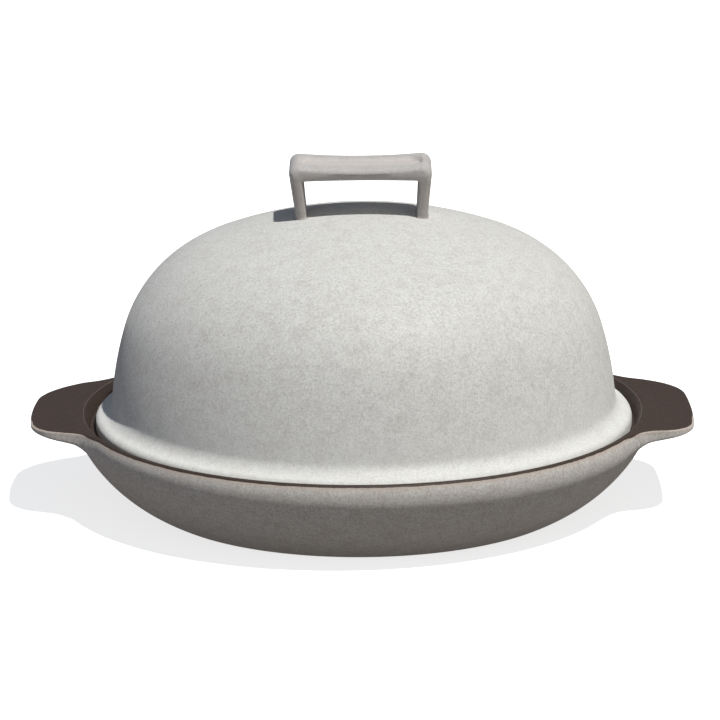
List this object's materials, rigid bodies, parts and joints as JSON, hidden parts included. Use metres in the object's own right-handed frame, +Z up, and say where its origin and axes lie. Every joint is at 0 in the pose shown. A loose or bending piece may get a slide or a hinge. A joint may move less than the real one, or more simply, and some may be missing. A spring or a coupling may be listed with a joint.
{
  "type": "bread baking pot",
  "caption": "Stoneware pot for baking bread: a round shallow dish with two flat lug handles and a bell-shaped lid with a bridge handle",
  "frame": {"origin": "centre of the foot ring, on the surface that the pot stands on", "axes": "+X runs through one lug handle, +Y is towards the back as pictured, +Z is up"},
  "size_m": [0.348, 0.3018, 0.1809],
  "materials": {
    "dish_glaze": "satin light grey speckled glaze outside, matte dark brown bare stoneware inside, on the rim and on the lugs",
    "lid_glaze": "satin light grey glaze with fine speckles"
  },
  "bodies": {
    "root": {"base_dish": "dish_glaze", "domed_lid": "lid_glaze"}
  },
  "joints": []
}
